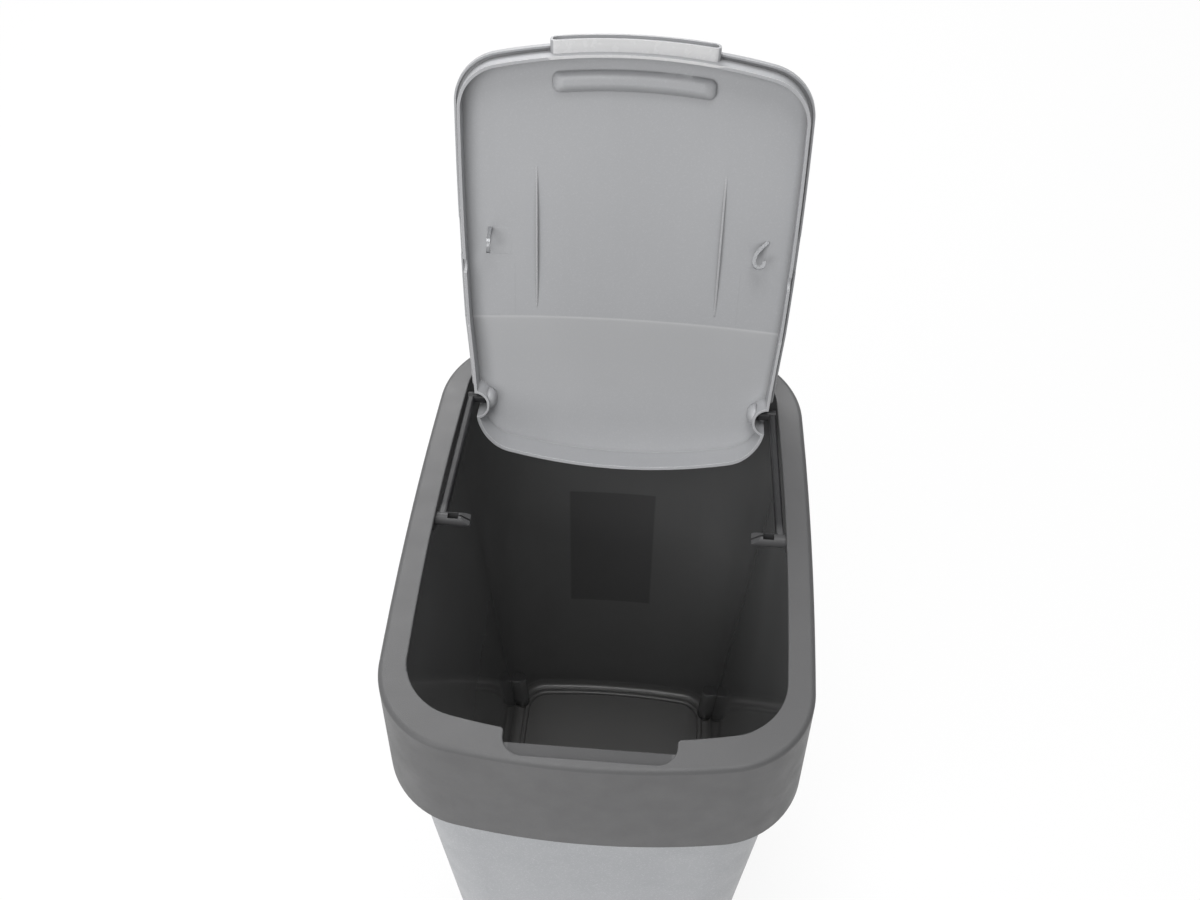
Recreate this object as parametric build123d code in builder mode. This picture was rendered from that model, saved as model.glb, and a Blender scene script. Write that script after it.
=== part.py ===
from build123d import *
from math import radians, degrees, sin, cos
import os

os.makedirs("parts", exist_ok=True)

# A kitchen bin with a lid that flips open and also swings. Millimetres, z up, front towards -y.
# The origin is on the floor, under the middle of the collar.

# Overall sizes
bin_height = 470
collar_height = 94
front_half = 128.3
rear_half = 121.8
front_corner_y = 154.5
rear_corner_y = 160.7
side_bow = 4.4
front_bow = 16.5
rear_bow = 10.5
front_radius = 56
rear_radius = 65

# Collar: one moulding that sits over the bucket's rim
collar_wall = 2.5
plate_thickness = 2.5
collar_flare = 2.0
collar_edge_round = 3.0
mouth_side = 16.2
mouth_front = 19.9
mouth_rear = 15.3
mouth_front_radius = 39
mouth_rear_radius = 35
mouth_edge_round = 0.8
rim_drop = 12.0
seat_rib = 2.0

# Notch in the collar's front, for fingers under the lid's grip
notch_half = 50
notch_reach = 13.5
notch_radius = 12
notch_shoulder = 2.5
notch_depth = 4.0
notch_wall = 1.8
notch_floor_setback = 4.0

# Bucket: one tapered moulding
bucket_wall = 2.2
bucket_fit = 1.0
base_front_side = 36
base_rear_side = 27.5
base_front = 19
base_rear = 10
base_front_radius = 36
base_rear_radius = 32
base_bow = 0.5
base_chamfer = 3.0
floor_height = 12.0
floor_thickness = 3.0
foot_width = 10.0
floor_round = 7.0
floor_bead_inset = 8.0
floor_bead_width = 5.0
floor_bead_height = 2.4
floor_bead_round = 2.2
pillar_height = 45.0
pillar_radius = 5.0
rear_pillar_x = 86.5
rear_pillar_y = 127.5
front_pillar_x = 83.9
front_pillar_y = -112.4

# Posts: the axis on which the lid and its two arms swing together
post_y = 5.0
post_drop = 9.0
post_radius = 4.4
post_tip = 91.5
journal_radius = 3.5
running_fit = 0.06
side_fit = 0.5
bracket_thickness = 3.5
bracket_radius = 8.5
bracket_gap = 1.2
window_inset = 7.5
window_length = 7.0
window_width = 4.8
split_width = 1.4
ramp_drop = 4.6
barb_width = 1.4

# Arms: from the posts back to the lid's hinge
bar_width = 4.8
bar_front_height = 7.5
bar_rear_height = 6.5
mouth_gap = 0.7
bar_round = 1.2
knob_radius = 3.9
knob_length = 7.5
pin_radius = 2.4
pin_length = 5.5

# Lid, in the closed position: measured from the collar's mouth and its top face
hinge_y = 111.8
hinge_drop = 7.1
open_angle = 101.0
lid_gap = 3.6
lid_rise = 1.6
lip_overhang = 3.1
lip_height = 3.4
lip_wall = 1.3
lip_end_y = 106.0
lid_wall = 1.8
skirt_depth = 13.0
rear_skirt_depth = 19.0
lid_crown = 5.4
crease_y = 44.7
crease_centre_y = 1290
crease_round = 14
crest_drop = 0.2
rear_drop = 15.3
lip_step_front_y = -24.3
lip_step_rear_y = 2.4
recess_radius = 8.6
recess_wall = 1.5
post_clearance = 0.6
post_notch_front_y = -8.4
post_notch_rear_y = 14.6
post_notch_drop = 12.5

# Grip on the lid's front edge
grip_half = 50
grip_reach = 4.6
grip_height = 8.2
grip_wall = 1.4
grip_corner = 4.0
grip_depth = 6.0

# Details moulded on the lid's underside
bump_half = 49
bump_y = -123.5
bump_width = 13.0
bump_height = 3.2
bump_bow = 3.5
bump_round = 3.0
bump_corner = 4.5
bump_groove_width = 6.0
rib_x = 59.5
rib_front_y = -63.5
rib_rear_y = 38.5
rib_height = 2.4
rib_width = 1.1
hook_x = 90.0
hook_y = -17.0
hook_width = 2.4
hook_thickness = 2.4
quarter_turn = 90.0
hook_slope = 16.0
hook_stem = 8.0
hook_bend_radius = 8.0
hook_bend = 64.0
hook_curl_radius = 2.2
hook_curl = 80.0
turned_hook_lean = 40.0
turned_hook_slope = 45.0
turned_hook_stem = 7.0
turned_hook_bend_radius = 12.0
turned_hook_bend = 45.0
turned_hook_curl_radius = 3.3
turned_hook_curl = 195.0

# How closely a face or a corner is picked by its place
margin = 0.1

# Worked-out places
rim_z = bin_height - rim_drop
collar_foot_z = bin_height - collar_height
post_z = bin_height - post_drop
hinge_z = bin_height - hinge_drop
rim_inset = collar_wall + bucket_fit
reach = 2 * bin_height
mouth_front_y = -(front_corner_y + front_bow - mouth_front)
mouth_rear_y = rear_corner_y + rear_bow - mouth_rear
lid_front_y = mouth_front_y + lid_gap
lid_rear_y = mouth_rear_y - lid_gap
skirt_inset = lid_gap + lip_overhang
lid_block = 4 * rear_skirt_depth

# The lid is drawn on a plane that lies on the collar's top when it is closed, turned here to open
tilt = radians(open_angle)
lid_top = Plane(
    origin=(
        0,
        hinge_y - hinge_y * cos(tilt) + hinge_drop * sin(tilt),
        hinge_z + hinge_y * sin(tilt) + hinge_drop * cos(tilt),
    ),
    x_dir=(1, 0, 0),
    z_dir=(0, sin(tilt), cos(tilt)),
)
lid_axis = Axis(lid_top.origin, lid_top.z_dir)
crease_axis = Axis(lid_top.from_local_coords((0, crease_centre_y, 0)), lid_top.z_dir)
half_turn = front_half / (crease_centre_y - rear_corner_y)
lid_front = Plane(origin=lid_top.origin, x_dir=(1, 0, 0), z_dir=-lid_top.y_dir)


def bowed_outline(front_side, rear_side, front, rear, front_r, rear_r, bow=1.0):
    """A rounded four-sided face with bowed sides, set in from the collar's own outline."""
    front_x = front_half - front_side
    rear_x = rear_half - rear_side
    front_y = front - front_corner_y
    rear_y = rear_corner_y - rear
    middle_x = (front_x + rear_x) / 2 + side_bow * bow
    middle_y = (front_y + rear_y) / 2
    with BuildLine(mode=Mode.PRIVATE) as outline:
        ThreePointArc((-front_x, front_y), (0, front_y - front_bow * bow), (front_x, front_y))
        ThreePointArc((front_x, front_y), (middle_x, middle_y), (rear_x, rear_y))
        ThreePointArc((rear_x, rear_y), (0, rear_y + rear_bow * bow), (-rear_x, rear_y))
        ThreePointArc((-rear_x, rear_y), (-middle_x, middle_y), (-front_x, front_y))
    face = make_face(outline.edges(), mode=Mode.PRIVATE).faces()[0]
    face = face.fillet_2d(front_r, face.vertices().sort_by(Axis.Y)[:2])
    return face.fillet_2d(rear_r, face.vertices().sort_by(Axis.Y)[-2:])


def collar_outline(inset):
    """The collar's outline at its top, set in all round."""
    return bowed_outline(inset, inset, inset, inset, front_radius - inset, rear_radius - inset)


def mouth_outline(inset):
    """The collar's mouth, set in all round."""
    return bowed_outline(
        mouth_side + inset,
        mouth_side + inset,
        mouth_front + inset,
        mouth_rear + inset,
        mouth_front_radius - inset,
        mouth_rear_radius - inset,
    )


def bucket_outline(height, inset):
    """The bucket's outline at a height above the floor, set in all round."""
    share = (rim_z - height) / rim_z
    return bowed_outline(
        rim_inset + (base_front_side - rim_inset) * share + inset,
        rim_inset + (base_rear_side - rim_inset) * share + inset,
        rim_inset + (base_front - rim_inset) * share + inset,
        rim_inset + (base_rear - rim_inset) * share + inset,
        front_radius - rim_inset + (base_front_radius - front_radius + rim_inset) * share - inset,
        rear_radius - rim_inset + (base_rear_radius - rear_radius + rim_inset) * share - inset,
        1 + (base_bow - 1) * share,
    )


def lid_height(y):
    """Height of the lid's outer face above the collar's top, with the lid closed."""
    share = (y - lid_front_y) / (crease_y - lid_front_y)
    if share < 1:
        return lid_rise + 4 * lid_crown * share * (1 - share)
    share = (y - crease_y) / (lid_rear_y - crease_y)
    fall = (4 * crest_drop - rear_drop) * share + (2 * rear_drop - 4 * crest_drop) * share**2
    return lid_rise - fall


def lid_slab(upper, lower, rear_lower):
    """A side-on face between two copies of the lid's outer curve, moved down."""
    ahead = lid_front_y - lid_wall
    behind = lid_rear_y + lid_wall
    crown_y = (ahead + crease_y) / 2
    crest_y = (crease_y + behind) / 2
    middle_lower = (lower + rear_lower) / 2
    upper_ahead = (ahead, lid_height(ahead) - upper)
    upper_crease = (crease_y, lid_rise - upper)
    upper_behind = (behind, lid_height(behind) - upper)
    lower_ahead = (ahead, lid_height(ahead) - lower)
    lower_crease = (crease_y, lid_rise - lower)
    lower_behind = (behind, lid_height(behind) - rear_lower)
    with BuildLine(mode=Mode.PRIVATE) as edge:
        Spline(upper_ahead, (crown_y, lid_height(crown_y) - upper), upper_crease)
        Spline(upper_crease, (crest_y, lid_height(crest_y) - upper), upper_behind)
        Line(upper_behind, lower_behind)
        Spline(lower_behind, (crest_y, lid_height(crest_y) - middle_lower), lower_crease)
        Spline(lower_crease, (crown_y, lid_height(crown_y) - lower), lower_ahead)
        Line(lower_ahead, upper_ahead)
    face = make_face(edge.edges(), mode=Mode.PRIVATE).faces()[0]
    creases = face.vertices().filter_by_position(Axis.X, crease_y - margin, crease_y + margin)
    return face.fillet_2d(crease_round, creases)


def lid_side(x):
    """A plane square to the hinge, which turns with the lid."""
    return Plane(origin=lid_top.from_local_coords((x, 0, 0)), x_dir=lid_top.y_dir, z_dir=(1, 0, 0))


def lid_turned(turn):
    """The lid's middle plane, turned about the far centre that its crease curves round."""
    across = crease_centre_y * sin(turn)
    along = crease_centre_y * (1 - cos(turn))
    return Plane(
        origin=lid_top.from_local_coords((across, along, 0)),
        x_dir=lid_top.y_dir * cos(turn) - lid_top.x_dir * sin(turn),
        z_dir=lid_top.x_dir * cos(turn) + lid_top.y_dir * sin(turn),
    )


def bump_outline(half, width, corner):
    """A bowed oblong face across the lid's front."""
    near_y = bump_y - width / 2
    far_y = bump_y + width / 2
    with BuildLine(mode=Mode.PRIVATE) as outline:
        ThreePointArc((-half, near_y + bump_bow), (0, near_y), (half, near_y + bump_bow))
        Line((half, near_y + bump_bow), (half, far_y + bump_bow))
        ThreePointArc((half, far_y + bump_bow), (0, far_y), (-half, far_y + bump_bow))
        Line((-half, far_y + bump_bow), (-half, near_y + bump_bow))
    face = make_face(outline.edges(), mode=Mode.PRIVATE).faces()[0]
    return face.fillet_2d(corner, face.vertices())


def hook_outline(slope, stem, bend_radius, bend, curl_radius, curl):
    """A hook seen from its side: a straight stem from its root, a wide bend and a tight curl."""
    with BuildLine(mode=Mode.PRIVATE) as path:
        straight = PolarLine((0, -lid_wall / 2), stem, slope)
        wide = JernArc(straight @ 1, straight % 1, bend_radius, bend)
        JernArc(wide @ 1, wide % 1, curl_radius, curl)
    return trace(path.edges(), line_width=hook_thickness, mode=Mode.PRIVATE).faces()


def mouth_half(y):
    """Half the mouth's width at a distance from the middle."""
    length = front_corner_y + rear_corner_y - mouth_front - mouth_rear
    share = (y + front_corner_y - mouth_front) / length
    straight = front_half + (rear_half - front_half) * share - mouth_side
    return straight + 4 * side_bow * share * (1 - share)


# Bucket: tapered shell with a raised floor, a foot ring, a bead round the floor and four corner pillars
rise = pillar_height / rim_z
with BuildPart() as bucket:
    with BuildSketch(Plane.XY):
        add(bucket_outline(0, 0))
    with BuildSketch(Plane.XY.offset(rim_z)):
        add(bucket_outline(rim_z, 0))
    loft(ruled=True)
    chamfer(bucket.faces().sort_by(Axis.Z)[0].edges(), base_chamfer)
    with BuildSketch(Plane.XY.offset(floor_height)):
        add(bucket_outline(floor_height, bucket_wall))
    with BuildSketch(Plane.XY.offset(rim_z)):
        add(bucket_outline(rim_z, bucket_wall))
    loft(ruled=True, mode=Mode.SUBTRACT)
    floor_faces = bucket.faces().filter_by_position(Axis.Z, floor_height - margin, floor_height + margin)
    fillet(floor_faces.edges(), floor_round)
    with BuildSketch(Plane.XY):
        add(bucket_outline(0, foot_width))
    extrude(amount=floor_height - floor_thickness, mode=Mode.SUBTRACT)
    with BuildSketch(Plane.XY.offset(floor_height)):
        add(bucket_outline(floor_height, bucket_wall + floor_bead_inset))
        add(
            bucket_outline(floor_height, bucket_wall + floor_bead_inset + floor_bead_width),
            mode=Mode.SUBTRACT,
        )
    extrude(amount=floor_bead_height)
    bead_top = floor_height + floor_bead_height
    bead_faces = bucket.faces().filter_by_position(Axis.Z, bead_top - margin, bead_top + margin)
    fillet(bead_faces.edges(), floor_bead_round)
    with BuildSketch(Plane.XY.offset(floor_height)):
        with Locations((rear_pillar_x, rear_pillar_y)):
            Circle(pillar_radius)
    with BuildSketch(Plane.XY.offset(floor_height + pillar_height)):
        with Locations((rear_pillar_x + base_rear_side * rise, rear_pillar_y + base_rear * rise)):
            Circle(pillar_radius)
    rear_pillar = loft(ruled=True)
    mirror(rear_pillar, about=Plane.YZ)
    with BuildSketch(Plane.XY.offset(floor_height)):
        with Locations((front_pillar_x, front_pillar_y)):
            Circle(pillar_radius)
    with BuildSketch(Plane.XY.offset(floor_height + pillar_height)):
        with Locations((front_pillar_x + base_front_side * rise, front_pillar_y - base_front * rise)):
            Circle(pillar_radius)
    front_pillar = loft(ruled=True)
    mirror(front_pillar, about=Plane.YZ)
bucket.part.label = "bucket"
export_step(bucket.part, "parts/bucket.step")

# Collar: flared wall, flat top plate, seat rib on the bucket's rim, notch and two brackets
with BuildPart() as collar:
    with BuildSketch(Plane.XY.offset(collar_foot_z)):
        add(collar_outline(-collar_flare))
    with BuildSketch(Plane.XY.offset(bin_height)):
        add(collar_outline(0))
    loft(ruled=True)
    fillet(collar.faces().sort_by(Axis.Z)[-1].edges(), collar_edge_round)
    with BuildSketch(Plane.XY.offset(collar_foot_z)):
        add(collar_outline(collar_wall - collar_flare))
    with BuildSketch(Plane.XY.offset(bin_height - plate_thickness)):
        add(collar_outline(collar_wall))
    loft(ruled=True, mode=Mode.SUBTRACT)
    with BuildSketch(Plane.XY.offset(rim_z)):
        add(collar_outline(rim_inset))
        add(collar_outline(rim_inset + seat_rib), mode=Mode.SUBTRACT)
    extrude(amount=rim_drop - plate_thickness)
    with BuildSketch(Plane.XY.offset(bin_height - notch_depth - notch_wall)):
        with Locations((0, mouth_front_y - notch_floor_setback)):
            Rectangle(
                2 * (notch_half + notch_wall),
                notch_reach + notch_wall - notch_floor_setback,
                align=(Align.CENTER, Align.MAX),
            )
    extrude(amount=notch_depth + notch_wall - plate_thickness)
    with BuildSketch(Plane.XY.offset(bin_height - notch_depth)) as mouth:
        add(mouth_outline(0))
        with Locations((0, mouth_front_y - notch_reach)):
            Rectangle(2 * notch_half, 2 * notch_reach, align=(Align.CENTER, Align.MIN))
        fillet(mouth.vertices().group_by(Axis.Y)[0], notch_radius)
        shoulders = mouth.vertices().filter_by_position(Axis.X, -notch_half - margin, -notch_half + margin)
        shoulders += mouth.vertices().filter_by_position(Axis.X, notch_half - margin, notch_half + margin)
        fillet(shoulders.group_by(Axis.Y)[-1], notch_shoulder)
    extrude(amount=notch_depth, mode=Mode.SUBTRACT)
    fillet(collar.faces().sort_by(Axis.Z)[-1].inner_wires()[0].edges(), mouth_edge_round)
    bracket_x = mouth_half(post_y) + bracket_gap
    with BuildSketch(Plane.YZ.offset(bracket_x)):
        with Locations((post_y, post_z)):
            Circle(bracket_radius)
        with Locations((post_y, bin_height - plate_thickness)):
            Rectangle(2 * bracket_radius, post_drop - plate_thickness, align=(Align.CENTER, Align.MAX))
        with Locations((post_y, post_z)):
            Circle(journal_radius + running_fit, mode=Mode.SUBTRACT)
        with Locations((0, bin_height - plate_thickness)):
            Rectangle(reach, reach, align=(Align.CENTER, Align.MIN), mode=Mode.SUBTRACT)
    bracket = extrude(amount=bracket_thickness)
    mirror(bracket, about=Plane.YZ)
collar.part.label = "collar"
export_step(collar.part, "parts/collar.step")

# Right swing arm: journal and split post, a bar along the mouth's side, a knob and the hinge pin
bar_front_x = mouth_half(post_y) - mouth_gap - bar_width / 2
bar_rear_x = mouth_half(hinge_y) - mouth_gap - bar_width / 2
knob_tip = bar_rear_x - bar_width / 2 - knob_length
window_near = post_tip + window_inset
with BuildPart() as right_swing_arm:
    with BuildSketch(Plane.YZ.offset(post_tip)):
        with Locations((post_y, post_z)):
            Circle(post_radius)
    extrude(amount=bracket_x - side_fit - post_tip)
    with BuildSketch(Plane.YZ.offset(bracket_x - side_fit)):
        with Locations((post_y, post_z)):
            Circle(journal_radius)
    extrude(amount=bracket_thickness + side_fit)
    with BuildSketch(Plane.XZ.offset(-post_y)):
        with Locations((bar_front_x, post_z)):
            RectangleRounded(bar_width, bar_front_height, bar_round)
    with BuildSketch(Plane.XZ.offset(-hinge_y)):
        with Locations((bar_rear_x, hinge_z)):
            RectangleRounded(bar_width, bar_rear_height, bar_round)
    loft(ruled=True)
    with BuildSketch(Plane.YZ.offset(knob_tip)):
        with Locations((hinge_y, hinge_z)):
            Circle(knob_radius)
    extrude(amount=knob_length + bar_width)
    with BuildSketch(Plane.YZ.offset(knob_tip - pin_length)):
        with Locations((hinge_y, hinge_z)):
            Circle(pin_radius)
    extrude(amount=pin_length)
    with BuildSketch(Plane.XY.offset(post_z)):
        with Locations((window_near, post_y)):
            Rectangle(window_length, window_width, align=(Align.MIN, Align.CENTER))
        with Locations((post_tip, post_y)):
            Rectangle(window_inset, split_width, align=(Align.MIN, Align.CENTER))
    extrude(amount=post_radius, both=True, mode=Mode.SUBTRACT)
    with BuildSketch(Plane.XZ.offset(-post_y)):
        with BuildLine():
            Polyline(
                (post_tip, post_z + post_radius - ramp_drop),
                (window_near - barb_width, post_z + post_radius),
                (window_near - barb_width, post_z + 2 * post_radius),
                (post_tip, post_z + 2 * post_radius),
                close=True,
            )
        make_face()
    extrude(amount=post_radius, both=True, mode=Mode.SUBTRACT)
right_swing_arm.part.label = "right_swing_arm"
export_step(right_swing_arm.part, "parts/right_swing_arm.step")

# Left swing arm: its mirror image
with BuildPart() as left_swing_arm:
    mirror(right_swing_arm.part, about=Plane.YZ)
left_swing_arm.part.label = "left_swing_arm"
export_step(left_swing_arm.part, "parts/left_swing_arm.step")

# Three layers that follow the lid's curve: its outer part, all that lies under its plate, and its skirt
with BuildPart() as rim_layer:
    with BuildSketch(lid_turned(-half_turn)):
        add(lid_slab(0, lip_height, lip_height))
    revolve(axis=crease_axis, revolution_arc=degrees(2 * half_turn))

with BuildPart() as under_layer:
    with BuildSketch(lid_turned(-half_turn)):
        add(lid_slab(lid_wall, lid_block, lid_block))
    revolve(axis=crease_axis, revolution_arc=degrees(2 * half_turn))

with BuildPart() as skirt_layer:
    with BuildSketch(lid_turned(-half_turn)):
        add(lid_slab(0, skirt_depth, rear_skirt_depth))
    revolve(axis=crease_axis, revolution_arc=degrees(2 * half_turn))

# Lid's crowned plate, with the lip that overhangs the skirt as far back as the hinge
with BuildPart() as lid_plate:
    with BuildSketch(lid_top.offset(-lid_block)):
        add(mouth_outline(lid_gap))
        with Locations((0, lip_end_y)):
            Rectangle(reach, reach, align=(Align.CENTER, Align.MIN), mode=Mode.SUBTRACT)
        add(mouth_outline(skirt_inset))
    extrude(amount=2 * lid_block)
    add(rim_layer.part, mode=Mode.INTERSECT)

# Groove under the lip, between its rim and the skirt
with BuildPart() as lip_groove:
    with BuildSketch(lid_top.offset(-lid_block)):
        add(mouth_outline(lid_gap + lip_wall))
        add(mouth_outline(skirt_inset), mode=Mode.SUBTRACT)
        with Locations((0, lip_end_y - lip_wall)):
            Rectangle(reach, reach, align=(Align.CENTER, Align.MIN), mode=Mode.SUBTRACT)
    extrude(amount=2 * lid_block)
    add(under_layer.part, mode=Mode.INTERSECT)

# Skirt, solid at first
with BuildPart() as lid_skirt:
    with BuildSketch(lid_top.offset(-lid_block)):
        add(mouth_outline(skirt_inset))
    extrude(amount=2 * lid_block)
    add(skirt_layer.part, mode=Mode.INTERSECT)

# Space inside the skirt, which leaves a wall round each hinge recess
recess_x = mouth_half(hinge_y) - skirt_inset
with BuildPart() as lid_hollow:
    with BuildSketch(lid_top.offset(-lid_block)):
        add(mouth_outline(skirt_inset + lid_wall))
        with Locations((recess_x, hinge_y), (-recess_x, hinge_y)):
            Circle(recess_radius + recess_wall, mode=Mode.SUBTRACT)
    extrude(amount=2 * lid_block)
    add(under_layer.part, mode=Mode.INTERSECT)

# Hinge recesses in the skirt's sides
with BuildPart() as hinge_recesses:
    with BuildSketch(lid_top.offset(-lid_block)):
        with Locations((recess_x, hinge_y), (-recess_x, hinge_y)):
            Circle(recess_radius)
    extrude(amount=2 * lid_block)
    add(under_layer.part, mode=Mode.INTERSECT)

# Grip: an oblong pocket that stands out of the lid's front edge
grip_front = lid_gap - grip_reach
with BuildPart() as grip:
    with BuildSketch(lid_top.offset(-lid_block)):
        add(mouth_outline(grip_front))
        add(mouth_outline(skirt_inset + lid_wall / 2), mode=Mode.SUBTRACT)
    extrude(amount=2 * lid_block)
    with BuildSketch(lid_front):
        with Locations((0, lid_rise)):
            RectangleRounded(
                2 * grip_half, grip_height, grip_corner, align=(Align.CENTER, Align.MAX)
            )
    extrude(amount=reach, mode=Mode.INTERSECT)

with BuildPart() as grip_pocket:
    with BuildSketch(lid_top.offset(-lid_block)):
        add(mouth_outline(grip_front - lid_wall))
        add(mouth_outline(grip_front + grip_depth), mode=Mode.SUBTRACT)
    extrude(amount=2 * lid_block)
    with BuildSketch(lid_front):
        with Locations((0, lid_rise - grip_wall)):
            RectangleRounded(
                2 * (grip_half - grip_wall),
                grip_height - 2 * grip_wall,
                grip_corner - grip_wall,
                align=(Align.CENTER, Align.MAX),
            )
    extrude(amount=reach, mode=Mode.INTERSECT)

# Bump across the front, hollow on the outside
bump_end = bump_half - bump_width / 2
bump_top = lid_height(bump_y)
with BuildPart() as bump:
    with BuildSketch(lid_top.offset(bump_top - lid_wall - bump_height)):
        add(bump_outline(bump_half, bump_width, bump_corner))
    extrude(amount=bump_height + lid_wall / 2)
    fillet(bump.faces().sort_by(lid_axis)[0].edges(), bump_round)

with BuildPart() as bump_groove:
    with BuildSketch(lid_top.offset(bump_top - bump_height)):
        with BuildLine(mode=Mode.PRIVATE) as bump_line:
            ThreePointArc((-bump_end, bump_y + bump_bow), (0, bump_y), (bump_end, bump_y + bump_bow))
        SlotArc(bump_line.edge(), bump_groove_width)
    extrude(amount=2 * bump_height)

# Steps where the lip's rim stops short beside the posts
with BuildPart() as lip_steps:
    with BuildSketch(lid_top.offset(-lid_block)):
        add(mouth_outline(lid_gap - lip_wall))
        add(mouth_outline(skirt_inset), mode=Mode.SUBTRACT)
        with Locations((0, (lip_step_front_y + lip_step_rear_y) / 2)):
            Rectangle(reach, lip_step_rear_y - lip_step_front_y, mode=Mode.INTERSECT)
    extrude(amount=2 * lid_block)
    add(under_layer.part, mode=Mode.INTERSECT)

# Lid: one moulding
with BuildPart() as lid:
    add(lid_plate.part)
    add(lip_groove.part, mode=Mode.SUBTRACT)
    add(lip_steps.part, mode=Mode.SUBTRACT)
    add(lid_skirt.part)
    add(lid_hollow.part, mode=Mode.SUBTRACT)
    add(hinge_recesses.part, mode=Mode.SUBTRACT)
    add(grip.part)
    add(grip_pocket.part, mode=Mode.SUBTRACT)
    add(bump.part)
    add(bump_groove.part, mode=Mode.SUBTRACT)
    with BuildSketch(Plane.YZ):
        with Locations((hinge_y, hinge_z)):
            Circle(pin_radius + running_fit)
    extrude(amount=recess_x, both=True, mode=Mode.SUBTRACT)
    with BuildSketch(lid_side(0)):
        with Locations((post_y, -post_drop)):
            Circle(post_radius + post_clearance)
        with BuildLine():
            Polyline(
                (post_y - post_radius - post_clearance, -post_drop),
                (post_y + post_radius + post_clearance, -post_drop),
                (post_notch_rear_y, -post_notch_drop),
                (post_notch_rear_y, -2 * skirt_depth),
                (post_notch_front_y, -2 * skirt_depth),
                (post_notch_front_y, -post_notch_drop),
                close=True,
            )
        make_face()
    extrude(amount=reach, both=True, mode=Mode.SUBTRACT)
    rib_middle_y = (rib_front_y + rib_rear_y) / 2
    with BuildSketch(lid_side(rib_x - rib_width / 2)):
        with BuildLine():
            ThreePointArc(
                (rib_front_y, lid_height(rib_front_y) - lid_wall),
                (rib_middle_y, lid_height(rib_middle_y) - lid_wall - rib_height),
                (rib_rear_y, lid_height(rib_rear_y) - lid_wall),
            )
            ThreePointArc(
                (rib_front_y, lid_height(rib_front_y) - lid_wall),
                (rib_middle_y, lid_height(rib_middle_y) - lid_wall / 2),
                (rib_rear_y, lid_height(rib_rear_y) - lid_wall),
            )
        make_face()
    rib = extrude(amount=rib_width)
    mirror(rib, about=Plane.YZ)
    hook_top = lid_height(hook_y) - lid_wall
    hook_plane = Plane(
        origin=lid_top.from_local_coords((-hook_x, hook_y, hook_top)),
        x_dir=-lid_top.y_dir,
        z_dir=lid_top.x_dir,
    )
    with BuildSketch(hook_plane):
        add(
            hook_outline(
                quarter_turn + hook_slope,
                hook_stem,
                hook_bend_radius,
                hook_bend,
                hook_curl_radius,
                hook_curl,
            )
        )
    extrude(amount=hook_width / 2, both=True)
    lean = radians(turned_hook_lean)
    away = lid_top.y_dir * cos(lean) - lid_top.z_dir * sin(lean)
    turned_hook_plane = Plane(
        origin=lid_top.from_local_coords((hook_x, hook_y, hook_top)),
        x_dir=-lid_top.x_dir,
        z_dir=away.cross(lid_top.x_dir),
    )
    with BuildSketch(turned_hook_plane):
        add(
            hook_outline(
                quarter_turn - turned_hook_slope,
                turned_hook_stem,
                turned_hook_bend_radius,
                turned_hook_bend,
                turned_hook_curl_radius,
                turned_hook_curl,
            )
        )
    extrude(amount=hook_width / 2, both=True)
lid.part.label = "lid"
export_step(lid.part, "parts/lid.step")
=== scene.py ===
import math
import bmesh
import bpy
from mathutils import Matrix, Vector
from mathutils.bvhtree import BVHTree


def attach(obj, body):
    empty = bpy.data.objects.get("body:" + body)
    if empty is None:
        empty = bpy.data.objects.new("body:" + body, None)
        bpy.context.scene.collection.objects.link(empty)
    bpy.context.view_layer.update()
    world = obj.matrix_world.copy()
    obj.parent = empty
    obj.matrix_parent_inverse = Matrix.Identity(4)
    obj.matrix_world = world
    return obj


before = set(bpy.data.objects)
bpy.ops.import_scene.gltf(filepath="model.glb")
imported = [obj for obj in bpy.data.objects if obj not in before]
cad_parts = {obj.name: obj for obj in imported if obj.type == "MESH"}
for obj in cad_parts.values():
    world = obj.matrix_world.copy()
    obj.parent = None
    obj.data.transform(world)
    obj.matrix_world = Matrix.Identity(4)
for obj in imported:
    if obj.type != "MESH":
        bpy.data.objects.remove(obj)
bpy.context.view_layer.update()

# Bucket: one tall moulding in polypropylene, tapered so that it leaves its mould.
# The outside is silver-grey with a fine metal fleck. The inside is dark grey and left glossy by the
# polished core, with faint upright drag marks where the core was pulled out.
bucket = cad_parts["bucket"]
column_foot = 0.0115
column_head = 0.0572


def new_finish(name):
    finish = bpy.data.materials.new(name)
    finish.use_nodes = True
    tree = finish.node_tree
    return finish, tree, tree.nodes["Principled BSDF"]


def place_on_part(tree, stretch=(1, 1, 1)):
    place = tree.nodes.new("ShaderNodeTexCoord")
    scaled = tree.nodes.new("ShaderNodeMapping")
    scaled.inputs["Scale"].default_value = stretch
    tree.links.new(place.outputs["Object"], scaled.inputs["Vector"])
    return scaled.outputs["Vector"]


def normal_on_part(tree):
    return tree.nodes.new("ShaderNodeTexCoord").outputs["Normal"]


def axes(tree, vector):
    parts = tree.nodes.new("ShaderNodeSeparateXYZ")
    tree.links.new(vector, parts.inputs["Vector"])
    return parts.outputs


def cloudiness(tree, where, scale, detail=3.0, roughness=0.55):
    cloud = tree.nodes.new("ShaderNodeTexNoise")
    cloud.inputs["Scale"].default_value = scale
    cloud.inputs["Detail"].default_value = detail
    cloud.inputs["Roughness"].default_value = roughness
    tree.links.new(where, cloud.inputs["Vector"])
    return cloud.outputs["Fac"]


def graded(tree, value, low, high, start=0.3, end=0.7):
    grade = tree.nodes.new("ShaderNodeMapRange")
    grade.inputs["From Min"].default_value = start
    grade.inputs["From Max"].default_value = end
    grade.inputs["To Min"].default_value = low
    grade.inputs["To Max"].default_value = high
    tree.links.new(value, grade.inputs["Value"])
    return grade.outputs["Result"]


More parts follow.
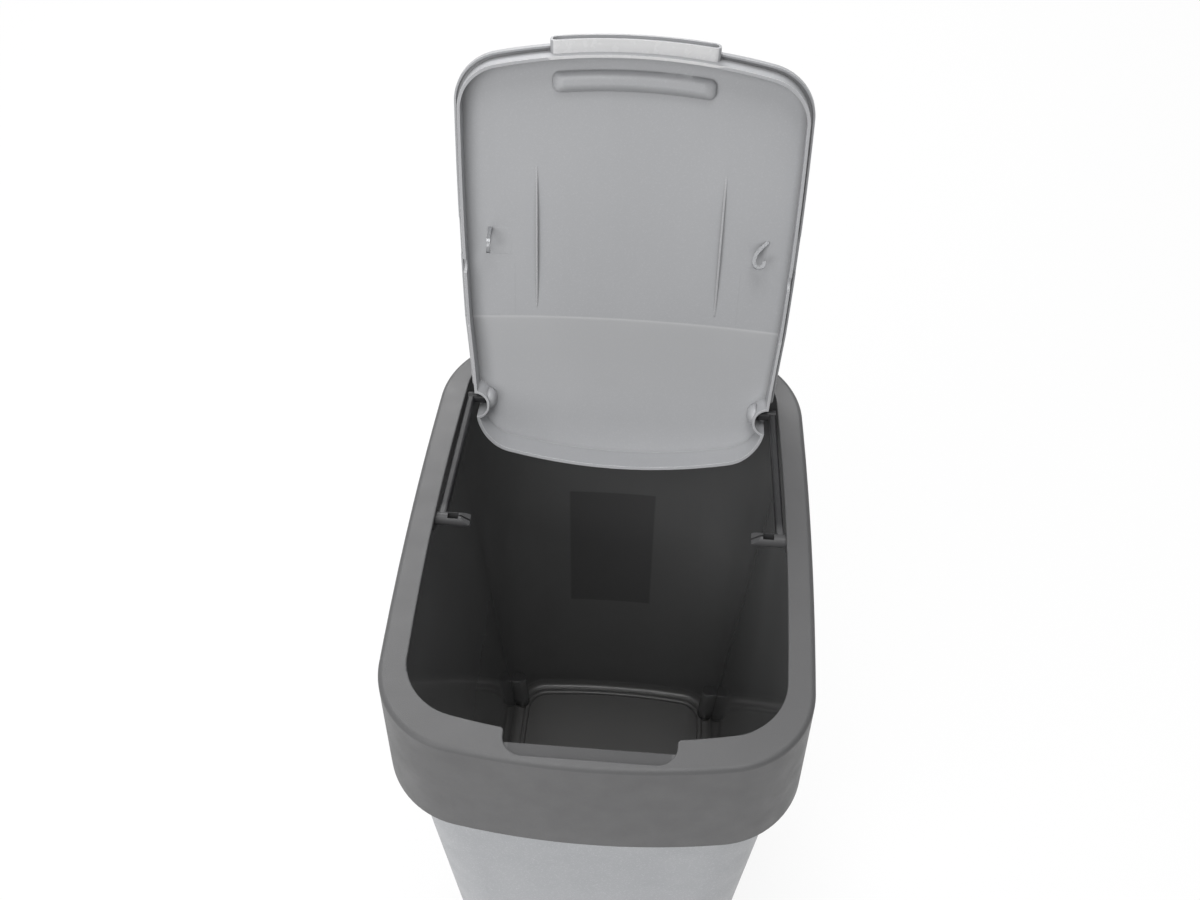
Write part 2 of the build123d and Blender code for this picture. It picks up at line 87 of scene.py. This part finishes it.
def tinted(tree, colour, share, tint):
    mix = tree.nodes.new("ShaderNodeMix")
    mix.data_type = "RGBA"
    amount, plain, full = mix.inputs[0], mix.inputs[6], mix.inputs[7]
    if isinstance(colour, tuple):
        plain.default_value = (*colour, 1)
    else:
        tree.links.new(colour, plain)
    full.default_value = (*tint, 1)
    tree.links.new(share, amount)
    return mix.outputs[2]


def clouded(tree, where, scale, dark, light):
    return tinted(tree, dark, graded(tree, cloudiness(tree, where, scale), 0, 1), light)


def uneven_gloss(tree, shader, where, scale, low, high):
    tree.links.new(graded(tree, cloudiness(tree, where, scale), low, high), shader.inputs["Roughness"])


def fleck(tree, where, size, strength):
    grain = tree.nodes.new("ShaderNodeTexVoronoi")
    grain.inputs["Scale"].default_value = 1 / size
    tree.links.new(where, grain.inputs["Vector"])
    spot = tree.nodes.new("ShaderNodeSeparateColor")
    tree.links.new(grain.outputs["Color"], spot.inputs["Color"])
    return graded(tree, spot.outputs["Red"], 0, strength, start=0.8, end=1.0)


def softened_edge(tree, radius):
    rounded = tree.nodes.new("ShaderNodeBevel")
    rounded.samples = 4
    rounded.inputs["Radius"].default_value = radius
    return rounded


def skin(tree, shader, height, depth, edge):
    rounded = softened_edge(tree, edge)
    bump = tree.nodes.new("ShaderNodeBump")
    bump.inputs["Distance"].default_value = depth
    tree.links.new(height, bump.inputs["Height"])
    tree.links.new(rounded.outputs["Normal"], bump.inputs["Normal"])
    tree.links.new(bump.outputs["Normal"], shader.inputs["Normal"])
    return rounded


def worked_out(tree, how, first, second=None, third=None):
    result = tree.nodes.new("ShaderNodeMath")
    result.operation = how
    for slot, value in enumerate((first, second, third)):
        if isinstance(value, (int, float)):
            result.inputs[slot].default_value = value
        elif value is not None:
            tree.links.new(value, result.inputs[slot])
    return result.outputs[0]


def within(tree, value, middle, half, soft):
    away = worked_out(tree, "ABSOLUTE", worked_out(tree, "SUBTRACT", value, middle))
    return graded(tree, away, 1, 0, half - soft, half + soft)


def overlap(tree, area, *others):
    for other in others:
        area = worked_out(tree, "MULTIPLY", area, other)
    return area


def dress(node, finishes):
    node.data.materials.clear()
    for finish in finishes:
        node.data.materials.append(finish)


outside, tree, shader = new_finish("bucket_outside")
where = place_on_part(tree)
shade = clouded(tree, where, scale=9, dark=(0.332, 0.341, 0.358), light=(0.356, 0.366, 0.383))
shade = tinted(tree, shade, fleck(tree, where, size=0.0007, strength=0.35), (0.62, 0.63, 0.65))
tree.links.new(shade, shader.inputs["Base Color"])
uneven_gloss(tree, shader, where, scale=40, low=0.34, high=0.44)
shader.inputs["Metallic"].default_value = 0.15
skin(tree, shader, cloudiness(tree, where, scale=900, detail=2), depth=0.00006, edge=0.0008)

# The inside has a painted shadow on its rear wall: a plain, slightly darker oblong where a label on the
# outside stops the light that comes through the wall. At the edge of the floor and on the tops of the
# corner columns it is matt and darkened with painted shade.
inside, tree, shader = new_finish("bucket_inside")
where = place_on_part(tree)
place = axes(tree, where)
drag = cloudiness(tree, place_on_part(tree, stretch=(1, 1, 0.03)), scale=140, detail=4)
shade = clouded(tree, where, scale=7, dark=(0.184, 0.185, 0.186), light=(0.202, 0.203, 0.204))
# Painted shadow: the label on the outside keeps light from coming through the rear wall here.
label_shadow_patch = overlap(
    tree,
    within(tree, place["X"], middle=-0.007, half=0.035, soft=0.0008),
    within(tree, place["Z"], middle=0.227, half=0.075, soft=0.0008),
    within(tree, place["Y"], middle=0.16, half=0.04, soft=0.001),
)
shade = tinted(tree, shade, label_shadow_patch, (0.138, 0.138, 0.140))
# Painted shade on the floor, which is also matt.
shaded_matt_floor = within(tree, place["Z"], middle=0, half=0.0165, soft=0.0015)
shade = tinted(tree, shade, shaded_matt_floor, (0.125, 0.124, 0.122))
# Painted shade on the up-facing tops of the corner columns, which are also matt.
shaded_matt_column_tops = overlap(
    tree,
    within(tree, place["Z"], middle=column_head, half=0.003, soft=0.0005),
    graded(tree, axes(tree, normal_on_part(tree))["Z"], low=0, high=1, start=0.4, end=0.8),
)
shade = tinted(tree, shade, shaded_matt_column_tops, (0.06, 0.06, 0.061))
tree.links.new(shade, shader.inputs["Base Color"])
matt = worked_out(tree, "MAXIMUM", shaded_matt_floor, shaded_matt_column_tops)
rougher_when_matt = 0.22
polish = graded(tree, drag, low=0.07, high=0.10)
roughness = worked_out(tree, "MULTIPLY_ADD", matt, rougher_when_matt, polish)
tree.links.new(roughness, shader.inputs["Roughness"])
skin(tree, shader, drag, depth=0.000004, edge=0.0008)

# The walls lean outwards, so straight up from the inside is open, and from the outside it isn't.
# Only the faces under the four leaning pillars need the second look, sideways.
bucket_finishes = (outside, inside)
dress(bucket, bucket_finishes)
bucket_skin = BVHTree.FromObject(bucket, bpy.context.evaluated_depsgraph_get())
just_off = 0.0001
pillar_top = 0.06
for face in bucket.data.polygons:
    start = face.center + face.normal * just_off
    outward = Vector((face.center.x, face.center.y, 0)).normalized()
    open_above = bucket_skin.ray_cast(start, Vector((0, 0, 1)))[0] is None
    pillar_height = column_foot < face.center.z < pillar_top
    under_pillar = pillar_height and bucket_skin.ray_cast(start, outward)[0] is not None
    face.material_index = bucket_finishes.index(inside if open_above or under_pillar else outside)

# Corner columns: one in each lower corner of the bucket, part of the same moulding. Nested buckets stand on
# them, so each is a stout round-fronted post that runs back into the side wall.
column_steps = 48
column_half_width = 0.0062
column_run_back = 0.014
sunk_in_wall = 0.0009
just_above_column = column_head + 0.0003
corner_places = (
    ("front", (0.0839, -0.1124), (0.0874, -0.1143)),
    ("rear", (0.0865, 0.1275), (0.0892, 0.1285)),
)
# Each level of a column: its share of the lean from foot to head, its height, and how far it is rounded in.
column_levels = (
    (0, column_foot, 0),
    (0.3, 0.026, 0),
    (0.6, 0.040, 0),
    (0.95, 0.0559, 0),
    (0.99, 0.0568, 0.0003),
    (1, column_head, 0.0009),
)


def closed_form(name, rings, finish):
    form = bmesh.new()
    loops = [[form.verts.new(point) for point in ring] for ring in rings]
    for lower, upper in zip(loops, loops[1:]):
        for step in range(len(lower)):
            after = (step + 1) % len(lower)
            form.faces.new((lower[step], lower[after], upper[after], upper[step])).smooth = True
    form.faces.new(loops[0])
    form.faces.new(loops[-1])
    bmesh.ops.recalc_face_normals(form, faces=form.faces)
    mesh = bpy.data.meshes.new(name)
    form.to_mesh(mesh)
    form.free()
    mesh.materials.append(finish)
    piece = bpy.data.objects.new(name, mesh)
    bpy.context.scene.collection.objects.link(piece)
    return piece


for corner, foot, head in corner_places:
    for side, hand in ((-1, "left"), (1, "right")):
        reach = []
        for step in range(column_steps):
            angle = math.tau * step / column_steps
            heading = Vector((side * math.cos(angle), math.sin(angle), 0))
            wall = bucket_skin.ray_cast(Vector((side * head[0], head[1], just_above_column)), heading)[3]
            length = column_run_back if math.cos(angle) > 0 else column_half_width
            oval = 1 / math.hypot(math.cos(angle) / length, math.sin(angle) / column_half_width)
            reach.append((heading, min(oval, wall + sunk_in_wall)))
        rings = []
        for share, height, inset in column_levels:
            middle = Vector(foot).lerp(Vector(head), share)
            middle = Vector((side * middle.x, middle.y, height))
            rings.append([middle + heading * (radius - inset) for heading, radius in reach])
        column_piece = closed_form(f"bucket_column_{corner}_{hand}", rings, inside)
        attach(column_piece, "bucket")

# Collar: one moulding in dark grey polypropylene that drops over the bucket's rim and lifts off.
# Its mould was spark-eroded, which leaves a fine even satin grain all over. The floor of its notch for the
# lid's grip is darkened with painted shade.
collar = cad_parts["collar"]
satin, tree, shader = new_finish("collar_satin")
where = place_on_part(tree)
place = axes(tree, where)
shade = clouded(tree, where, scale=12, dark=(0.095, 0.095, 0.097), light=(0.104, 0.104, 0.106))
grain = graded(tree, cloudiness(tree, where, scale=1400, detail=2), low=0, high=0.5, start=0.6, end=0.8)
shade = tinted(tree, shade, grain, (0.145, 0.145, 0.146))
# Painted shade in the floor of the grip's notch.
shaded_notch_floor = overlap(
    tree,
    within(tree, place["X"], middle=0, half=0.047, soft=0.0005),
    within(tree, place["Y"], middle=-0.156, half=0.0125, soft=0.0005),
    within(tree, place["Z"], middle=0.4655, half=0.0016, soft=0.0003),
)
shade = tinted(tree, shade, shaded_notch_floor, (0.060, 0.060, 0.062))
tree.links.new(shade, shader.inputs["Base Color"])
uneven_gloss(tree, shader, where, scale=60, low=0.42, high=0.52)
shader.inputs["Specular IOR Level"].default_value = 0.42
skin(tree, shader, cloudiness(tree, where, scale=1600, detail=3, roughness=0.6), depth=0.00012, edge=0.0008)
dress(collar, (satin,))

# Swing arms: a mirrored pair of dark grey mouldings, snapped through the collar's brackets by their split
# posts. They are the same stuff as the collar, but from a polished mould, so they are a little glossier.
arm_gloss_and_shadow, tree, shader = new_finish("arm_gloss_and_shadow")
where = place_on_part(tree)
# Painted shadow: the arms are coloured far darker than the collar's plastic because the collar shades them;
# the posts are lifted close to the collar's tone.
shade = clouded(tree, where, scale=60, dark=(0.030, 0.030, 0.032), light=(0.038, 0.038, 0.040))
posts = within(tree, axes(tree, where)["Y"], middle=0.005, half=0.008, soft=0.003)
shade = tinted(tree, shade, posts, (0.085, 0.085, 0.087))
tree.links.new(shade, shader.inputs["Base Color"])
uneven_gloss(tree, shader, where, scale=300, low=0.30, high=0.38)
shader.inputs["Specular IOR Level"].default_value = 0.2
skin(tree, shader, cloudiness(tree, where, scale=1200, detail=2), depth=0.00003, edge=0.0003)
for arm in ("left_swing_arm", "right_swing_arm"):
    dress(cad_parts[arm], (arm_gloss_and_shadow,))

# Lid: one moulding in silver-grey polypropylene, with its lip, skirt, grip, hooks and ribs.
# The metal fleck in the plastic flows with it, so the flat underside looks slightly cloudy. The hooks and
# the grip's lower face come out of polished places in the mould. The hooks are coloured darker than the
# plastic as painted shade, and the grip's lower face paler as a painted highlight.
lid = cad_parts["lid"]
open_angle = math.radians(101)
hinge_on_lid = Vector((0, 0.1118, -0.0071))
hinge_in_room = Vector((0, 0.1118, 0.4629))
lid_turn = Matrix.Rotation(open_angle, 3, "X")
lid_shift = hinge_on_lid - lid_turn @ hinge_in_room
closed_lid_up = (0, math.sin(open_angle), math.cos(open_angle))
crease_centre = (0, 1.29, 0)
crease_radius = 1.2453
cushion_line = -0.1235
cushion_bow = 1.4577


def measured(tree, how, first, second=None):
    measure = tree.nodes.new("ShaderNodeVectorMath")
    measure.operation = how
    tree.links.new(first, measure.inputs[0])
    if isinstance(second, tuple):
        measure.inputs[1].default_value = second
    elif second is not None:
        tree.links.new(second, measure.inputs[1])
    return measure.outputs["Value"]


# The lid's lines are set out as on the closed lid, where height 0 is level with the collar's top.
silver, tree, shader = new_finish("lid_silver")
where = place_on_part(tree)
closed = tree.nodes.new("ShaderNodeMapping")
closed.inputs["Rotation"].default_value = (open_angle, 0, 0)
closed.inputs["Location"].default_value = lid_shift
tree.links.new(where, closed.inputs["Vector"])
place = axes(tree, closed.outputs["Vector"])
across = worked_out(tree, "ABSOLUTE", place["X"])
flat_place = tree.nodes.new("ShaderNodeCombineXYZ")
tree.links.new(place["X"], flat_place.inputs["X"])
tree.links.new(place["Y"], flat_place.inputs["Y"])
from_centre = measured(tree, "DISTANCE", flat_place.outputs["Vector"], crease_centre)
facing_up = measured(tree, "DOT_PRODUCT", normal_on_part(tree), closed_lid_up)
underside = graded(tree, facing_up, low=1, high=0, start=-0.6, end=-0.2)

# The square pads at the hooks, the fine line of a mould insert behind each pad, a painted highlight along
# the crease, and painted light on the underside behind the crease.
hook_pad = overlap(
    tree,
    within(tree, across, middle=0.0835, half=0.0068, soft=0.0002),
    within(tree, place["Y"], middle=-0.0083, half=0.0094, soft=0.0002),
)
insert_line = overlap(
    tree,
    within(tree, across, middle=0.0742, half=0.0003, soft=0.0002),
    within(tree, place["Y"], middle=0.0255, half=0.0185, soft=0.001),
)
crease = within(tree, from_centre, middle=crease_radius, half=0.0007, soft=0.0006)
painted_light_behind_crease = overlap(
    tree,
    graded(tree, from_centre, low=1, high=0, start=crease_radius - 0.0013, end=crease_radius + 0.0009),
    graded(tree, place["Y"], low=1, high=0, start=0.045, end=0.125),
    underside,
)

# The cushion follows a shallow bow across the lid, and its fall to the plate is soft.
squared = worked_out(tree, "MULTIPLY", across, across)
off_line = worked_out(tree, "MULTIPLY_ADD", squared, -cushion_bow, place["Y"])
rise = within(tree, off_line, middle=cushion_line, half=0.0042, soft=0.0034)
rise.node.interpolation_type = "SMOOTHSTEP"
length = within(tree, across, middle=0, half=0.0455, soft=0.0038)
length.node.interpolation_type = "SMOOTHSTEP"
cushion = overlap(tree, rise, length, underside)
cushion_area = overlap(
    tree,
    within(tree, off_line, middle=cushion_line, half=0.0095, soft=0.001),
    within(tree, across, middle=0, half=0.053, soft=0.001),
    underside,
)

# How far grain, pads and cushion stand out, as multiples of the skin's depth, and how round the edges are.
skin_depth = 0.00008
grain_height, pad_height, cushion_height = 0.3, 0.8, 24
lid_edge, rounder_by_cushion = 0.0004, 0.0022
grain = worked_out(tree, "MULTIPLY", cloudiness(tree, where, scale=700, detail=3), grain_height)
relief = worked_out(tree, "MULTIPLY_ADD", hook_pad, pad_height, grain)
relief = worked_out(tree, "MULTIPLY_ADD", cushion, cushion_height, relief)
rounded = skin(tree, shader, relief, skin_depth, lid_edge)
edge = worked_out(tree, "MULTIPLY_ADD", cushion_area, rounder_by_cushion, lid_edge)
tree.links.new(edge, rounded.inputs["Radius"])

# Painted highlight: the edges of lip and skirt catch the light in a thin pale line. Painted shade: the
# narrow corners are darker.
facing = tree.nodes.new("ShaderNodeNewGeometry")
edge_round = softened_edge(tree, radius=0.0005)
likeness = measured(tree, "DOT_PRODUCT", edge_round.outputs["Normal"], facing.outputs["Normal"])
nook = tree.nodes.new("ShaderNodeAmbientOcclusion")
nook.samples = 8
nook.only_local = True
nook.inputs["Distance"].default_value = 0.006
nook_shade = graded(tree, nook.outputs["AO"], low=1, high=0, start=0.35, end=0.85)
edge_highlight = graded(tree, likeness, low=1, high=0, start=0.78, end=0.96)
edge_highlight = worked_out(tree, "SUBTRACT", edge_highlight, cushion_area)
edge_highlight = worked_out(tree, "SUBTRACT", edge_highlight, nook_shade)
edge_highlight.node.use_clamp = True

flow = cloudiness(tree, place_on_part(tree, stretch=(1, 1, 0.35)), scale=11, detail=5, roughness=0.6)
flow = graded(tree, flow, low=0, high=1)
shade = tinted(tree, (0.39, 0.395, 0.408), flow, (0.415, 0.42, 0.433))
shade = tinted(tree, shade, fleck(tree, where, size=0.0006, strength=0.12), (0.66, 0.67, 0.69))
# Painted light behind the crease and a painted highlight along it.
shade = tinted(tree, shade, worked_out(tree, "MULTIPLY", painted_light_behind_crease, 0.6), (0.60, 0.605, 0.615))
shade = tinted(tree, shade, worked_out(tree, "MULTIPLY", crease, 0.6), (0.62, 0.62, 0.63))
shade = tinted(tree, shade, worked_out(tree, "MULTIPLY", insert_line, 0.35), (0.34, 0.34, 0.35))
# Painted highlight on the edges, then painted shade in the narrow corners.
shade = tinted(tree, shade, edge_highlight, (0.84, 0.84, 0.845))
shade = tinted(tree, shade, worked_out(tree, "MULTIPLY", nook_shade, 0.55), (0.16, 0.16, 0.163))
tree.links.new(shade, shader.inputs["Base Color"])
uneven_gloss(tree, shader, where, scale=30, low=0.38, high=0.44)
shader.inputs["Metallic"].default_value = 0.05

# The hooks' darker colour is painted shade; their gloss is the polish.
shaded_polished_hooks, tree, shader = new_finish("lid_shaded_polished_hooks")
where = place_on_part(tree)
shade = clouded(tree, where, scale=90, dark=(0.25, 0.255, 0.265), light=(0.29, 0.295, 0.305))
tree.links.new(shade, shader.inputs["Base Color"])
uneven_gloss(tree, shader, where, scale=200, low=0.24, high=0.32)
shader.inputs["Metallic"].default_value = 0.3
skin(tree, shader, cloudiness(tree, where, scale=900, detail=2), depth=0.00002, edge=0.0003)

# The grip's paler colour is a painted highlight; its gloss is the polish.
polished_grip_with_highlight, tree, shader = new_finish("lid_polished_grip_with_highlight")
where = place_on_part(tree)
shade = clouded(tree, where, scale=30, dark=(0.585, 0.585, 0.59), light=(0.61, 0.61, 0.615))
tree.links.new(shade, shader.inputs["Base Color"])
uneven_gloss(tree, shader, where, scale=200, low=0.22, high=0.30)
skin(tree, shader, cloudiness(tree, where, scale=700, detail=2), depth=0.00002, edge=0.0003)

# On the closed lid the hooks hang below the plate near the middle of each side, and the grip's lower face
# looks down at the very front.
hook_inner, hook_outer = 0.078, 0.098
hook_front, hook_rear = -0.036, 0.001
hook_below = 0.0033
grip_rear = -0.14
grip_below = -0.004
facing_down = -0.85
lid_finishes = (silver, shaded_polished_hooks, polished_grip_with_highlight)
dress(lid, lid_finishes)
for face in lid.data.polygons:
    middle = lid_turn @ face.center + lid_shift
    by_hook = hook_inner < abs(middle.x) < hook_outer and hook_front < middle.y < hook_rear
    on_grip = middle.y < grip_rear and middle.z < grip_below
    finish = silver
    if by_hook and middle.z < hook_below:
        finish = shaded_polished_hooks
    elif on_grip and (lid_turn @ face.normal).z < facing_down:
        finish = polished_grip_with_highlight
    face.material_index = lid_finishes.index(finish)

# Pin bosses on the lid: a small round cap on the inside of each hinge recess, in the lid's own plastic and
# moulded with it. It covers the inner end of the hole that the arm's pin turns in.
boss_steps = 40
# Each level of a boss: its distance from the lid's middle, and its radius.
boss_levels = (
    (0.0936, 0.0074),
    (0.0920, 0.0072),
    (0.0906, 0.0067),
    (0.0894, 0.0058),
    (0.0885, 0.0045),
    (0.0879, 0.0029),
    (0.0877, 0.0014),
)
for side, name in ((-1, "lid_pin_boss_left"), (1, "lid_pin_boss_right")):
    rings = []
    for reach, radius in boss_levels:
        ring = []
        for step in range(boss_steps):
            angle = math.tau * step / boss_steps
            turned = Vector((0, radius * math.cos(angle), radius * math.sin(angle)))
            ring.append(hinge_in_room + Vector((side * reach, 0, 0)) + turned)
        rings.append(ring)
    boss_piece = closed_form(name, rings, silver)
    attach(boss_piece, "lid")

# Studio: a plain pale floor under an even sky and four soft lamps, the largest in front to the left, with a
# low one at the left, one overhead that reaches the bin's floor and one behind for the outlines.
# The floor shows white, still takes the bin's shadow, and fades into the backdrop further off.
floor_mesh = bpy.data.meshes.new("studio_floor")
floor_mesh.from_pydata([(-6, -6, 0), (6, -6, 0), (6, 6, 0), (-6, 6, 0)], [], [(0, 1, 2, 3)])
floor = bpy.data.objects.new("studio_floor", floor_mesh)
bpy.context.scene.collection.objects.link(floor)


def shown_blend(tree, share, lit, plain, output):
    blend = tree.nodes.new("ShaderNodeMixShader")
    tree.links.new(share, blend.inputs[0])
    tree.links.new(lit, blend.inputs[1])
    tree.links.new(plain, blend.inputs[2])
    tree.links.new(blend.outputs[0], tree.nodes[output].inputs["Surface"])


paper, tree, shader = new_finish("studio_paper")
where = place_on_part(tree)
shade = tinted(tree, (0.86, 0.86, 0.86), cloudiness(tree, where, scale=3), (0.88, 0.88, 0.88))
tree.links.new(shade, shader.inputs["Base Color"])
shader.inputs["Roughness"].default_value = 0.9
glow = tree.nodes.new("ShaderNodeEmission")
seen = tree.nodes.new("ShaderNodeLightPath").outputs
seen_or_mirrored = worked_out(tree, "MAXIMUM", seen["Is Camera Ray"], seen["Is Glossy Ray"])
fade = graded(tree, measured(tree, "LENGTH", where), low=0.88, high=1, start=0.9, end=3)
share = worked_out(tree, "MULTIPLY", seen_or_mirrored, fade)
shown_blend(tree, share, shader.outputs[0], glow.outputs[0], "Material Output")
floor_mesh.materials.append(paper)

sky = bpy.data.worlds.new("studio_sky")
sky.use_nodes = True
bpy.context.scene.world = sky
tree = sky.node_tree
ambient = tree.nodes["Background"]
ambient.inputs["Color"].default_value = (1, 1, 1, 1)
ambient.inputs["Strength"].default_value = 0.25
backdrop = tree.nodes.new("ShaderNodeBackground")
backdrop.inputs["Color"].default_value = (1, 1, 1, 1)
backdrop.inputs["Strength"].default_value = 1
seen = tree.nodes.new("ShaderNodeLightPath").outputs
shown_blend(tree, seen["Is Camera Ray"], ambient.outputs[0], backdrop.outputs[0], "World Output")


def soft_lamp(name, at, towards, width, height, power):
    lamp = bpy.data.lights.new(name, "AREA")
    lamp.shape = "RECTANGLE"
    lamp.size = width
    lamp.size_y = height
    lamp.energy = power
    stand = bpy.data.objects.new(name, lamp)
    stand.location = at
    stand.rotation_euler = (Vector(towards) - Vector(at)).to_track_quat("-Z", "Y").to_euler()
    bpy.context.scene.collection.objects.link(stand)


soft_lamp("lamp_key", (-0.6, -1.65, 2.1), (0, 0, 0.4), width=2.0, height=1.0, power=22)
soft_lamp("lamp_low", (-1.3, -1.8, 0.95), (0, 0.1, 0.5), width=1.0, height=0.8, power=11)
soft_lamp("lamp_top", (0, -0.3, 2.6), (0, -0.02, 0), width=0.9, height=0.9, power=22)
soft_lamp("lamp_back", (-0.5, 1.75, 2.1), (0, 0, 0.4), width=1.6, height=1.4, power=46)

# Camera: a short telephoto lens above and in front of the bin, turned and rolled a little as in the
# photograph. Its place and angles, in radians, come from the outlines of the collar and the open lid.
camera_place = (0.02951, -0.52226, 1.1638)
yaw = -0.0693
pitch = 0.8678
roll = 0.0113
ahead = Vector((math.sin(yaw) * math.cos(pitch), math.cos(yaw) * math.cos(pitch), -math.sin(pitch)))
level = Vector((math.cos(yaw), -math.sin(yaw), 0))
over = level.cross(ahead)
right = level * math.cos(roll) + over * math.sin(roll)
above = over * math.cos(roll) - level * math.sin(roll)
lens = bpy.data.cameras.new("camera")
lens.sensor_width = 36
lens.lens = 40.527
lens.clip_start = 0.05
camera = bpy.data.objects.new("camera", lens)
turn = Matrix((right, above, -ahead)).transposed().to_4x4()
camera.matrix_world = Matrix.Translation(camera_place) @ turn
bpy.context.scene.collection.objects.link(camera)
bpy.context.scene.camera = camera
bpy.context.scene.view_settings.view_transform = "Standard"
